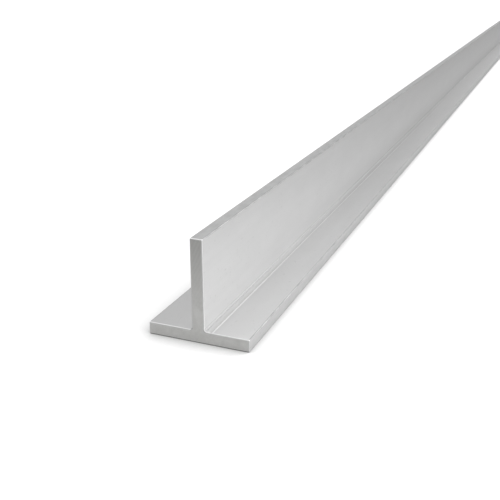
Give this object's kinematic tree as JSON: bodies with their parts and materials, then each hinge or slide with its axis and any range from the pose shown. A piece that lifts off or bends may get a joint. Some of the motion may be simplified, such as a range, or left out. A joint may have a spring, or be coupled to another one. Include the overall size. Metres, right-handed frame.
{
  "type": "aluminium tee section",
  "caption": "Straight extruded aluminium tee bar with equal flange and stem, sawn square to length, used as framing, edging, divider or stiffener.",
  "frame": {"origin": "middle of the flange's underside, halfway along the bar, on the surface that it lies on", "axes": "+X across the flange, +Y along the bar, +Z from the flange's underside to the top of the stem"},
  "size_m": [0.025, 1, 0.025],
  "materials": {
    "aluminium": "mill finish, satin, with fine lines along the length and sawn ends"
  },
  "bodies": {
    "root": {"tee_section": "aluminium"}
  },
  "joints": []
}
